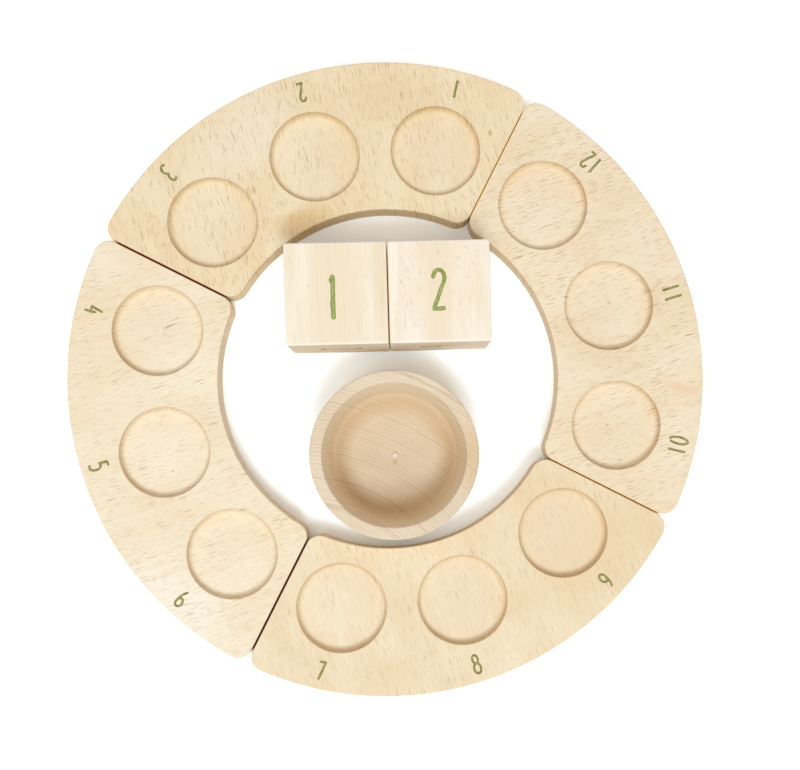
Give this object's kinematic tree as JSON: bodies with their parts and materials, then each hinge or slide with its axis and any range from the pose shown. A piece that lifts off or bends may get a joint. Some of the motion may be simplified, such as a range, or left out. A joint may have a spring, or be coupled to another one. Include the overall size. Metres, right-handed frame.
{
  "type": "perpetual desk calendar",
  "caption": "Wooden perpetual calendar: loose quarter rings with round month recesses around date cubes and a small turned bowl.",
  "frame": {"origin": "centre of the ring on the table, level with the undersides", "axes": "+Z up from the table, +X to the right and +Y up for a reader looking down on it with the date cubes above the bowl"},
  "size_m": [0.29, 0.29, 0.045],
  "materials": {
    "ring_segment_months_1_to_3": "fine-sanded unvarnished beech",
    "ring_segment_months_4_to_6": "fine-sanded unvarnished beech",
    "ring_segment_months_7_to_9": "fine-sanded unvarnished beech",
    "ring_segment_months_10_to_12": "fine-sanded unvarnished beech",
    "tens_cube": "fine-sanded unvarnished beech",
    "units_cube": "fine-sanded unvarnished beech",
    "bowl": "fine-sanded unvarnished beech"
  },
  "bodies": {
    "ring_segment_months_1_to_3": {"ring_segment_months_1_to_3": "ring_segment_months_1_to_3"},
    "ring_segment_months_4_to_6": {"ring_segment_months_4_to_6": "ring_segment_months_4_to_6"},
    "ring_segment_months_7_to_9": {"ring_segment_months_7_to_9": "ring_segment_months_7_to_9"},
    "ring_segment_months_10_to_12": {"ring_segment_months_10_to_12": "ring_segment_months_10_to_12"},
    "tens_cube": {"tens_cube": "tens_cube"},
    "units_cube": {"units_cube": "units_cube"},
    "bowl": {"bowl": "bowl"}
  },
  "joints": [
    {"name": "months_4_to_6_slide_out", "type": "slide", "parent": "ring_segment_months_1_to_3", "child": "ring_segment_months_4_to_6", "axis": [-0.9483, -0.3173, 0], "range_m": [0, 0.06]},
    {"name": "months_7_to_9_slide_out", "type": "slide", "parent": "ring_segment_months_1_to_3", "child": "ring_segment_months_7_to_9", "axis": [0.3173, -0.9483, 0], "range_m": [0, 0.06]},
    {"name": "months_10_to_12_slide_out", "type": "slide", "parent": "ring_segment_months_1_to_3", "child": "ring_segment_months_10_to_12", "axis": [0.9483, 0.3173, 0], "range_m": [0, 0.06]},
    {"name": "tens_cube_lift", "type": "slide", "parent": "ring_segment_months_1_to_3", "child": "tens_cube", "axis": [0, 0, 1], "range_m": [0, 0.06]},
    {"name": "units_cube_lift", "type": "slide", "parent": "ring_segment_months_1_to_3", "child": "units_cube", "axis": [0, 0, 1], "range_m": [0, 0.06]},
    {"name": "bowl_lift", "type": "slide", "parent": "ring_segment_months_1_to_3", "child": "bowl", "axis": [0, 0, 1], "range_m": [0, 0.06]}
  ]
}
